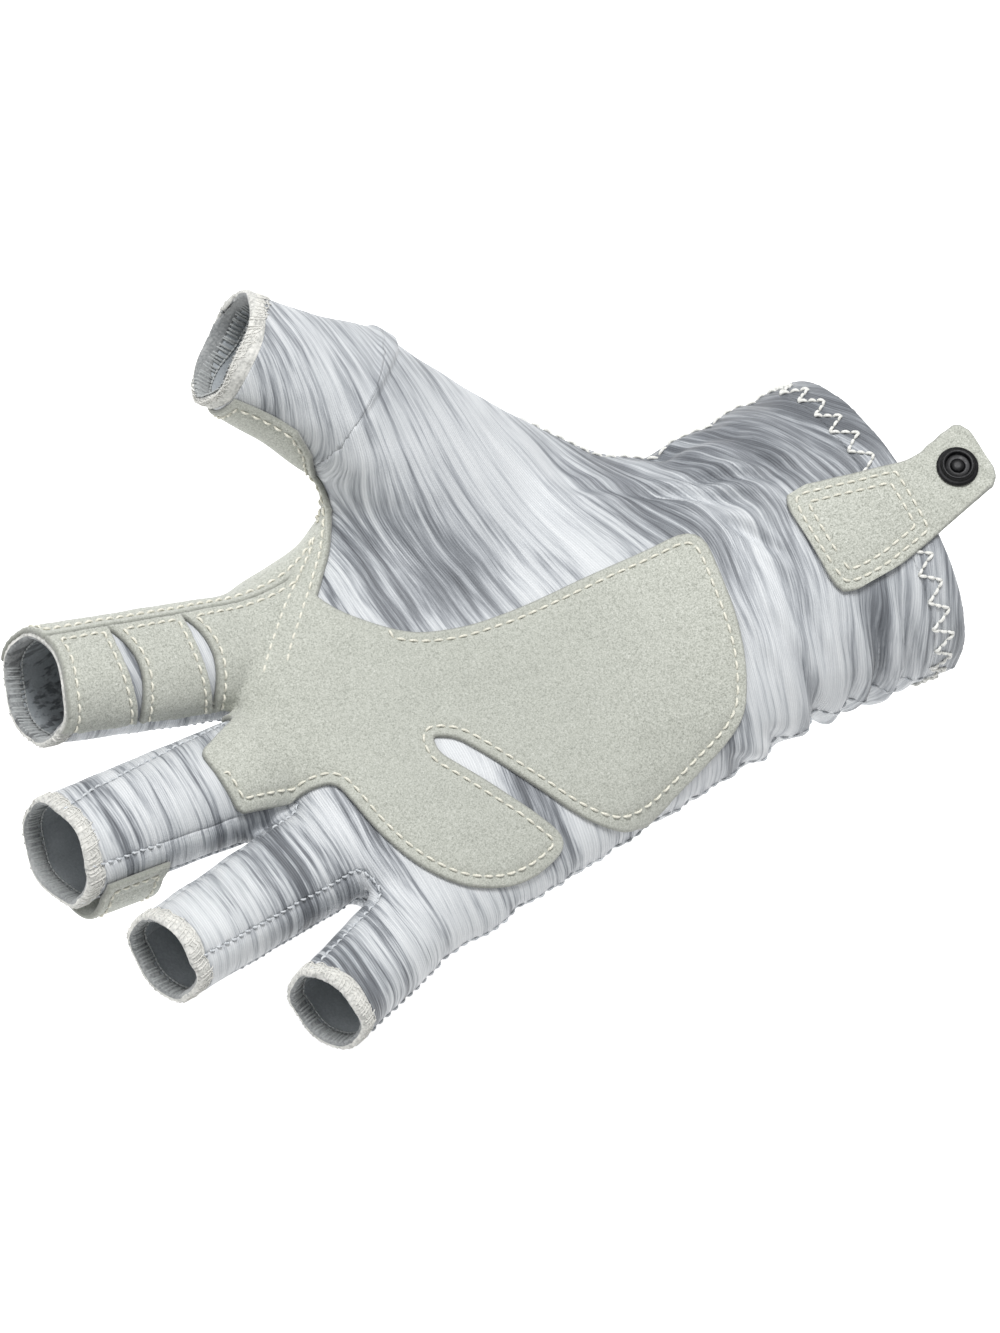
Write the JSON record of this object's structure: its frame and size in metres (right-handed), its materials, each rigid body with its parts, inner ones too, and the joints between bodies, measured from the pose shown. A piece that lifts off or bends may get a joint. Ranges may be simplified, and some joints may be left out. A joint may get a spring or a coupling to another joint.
{
  "type": "fishing glove",
  "caption": "Fingerless stretch-cloth fishing glove for the right hand, with a suede palm patch, suede thumb crotch, finger pull loop and a wrist tab with a snap.",
  "frame": {"origin": "in the plane of the wrist opening, near its centre, where the wrist enters", "axes": "+X out of the wrist opening along the hand, so the fingers point to -X; +Y to the thumb's side; +Z out of the palm"},
  "size_m": [0.2184, 0.1492, 0.0713],
  "materials": {
    "cloth": "fine stretch knit with a grey and white streaked print",
    "cuff_cloth": "the same knit, darker at the turned hem",
    "edge_thread": "overlocked thread over cloth",
    "suede": "napped light grey-green suede",
    "snap": "black semi-gloss"
  },
  "bodies": {
    "root": {"palm_cloth": "cloth", "back_cloth": "cloth", "fourchette_index_middle": "cloth", "fourchette_middle_ring": "cloth", "fourchette_ring_little": "cloth", "thumb_sleeve": "cloth", "index_hem": "edge_thread", "middle_hem": "edge_thread", "ring_hem": "edge_thread", "little_hem": "edge_thread", "thumb_hem": "edge_thread", "cuff_hem": "cuff_cloth", "palm_patch": "suede", "side_patch": "suede", "pull_loop": "suede", "wrist_tab": "suede", "snap_socket": "snap", "snap_cap": "snap"}
  },
  "joints": []
}
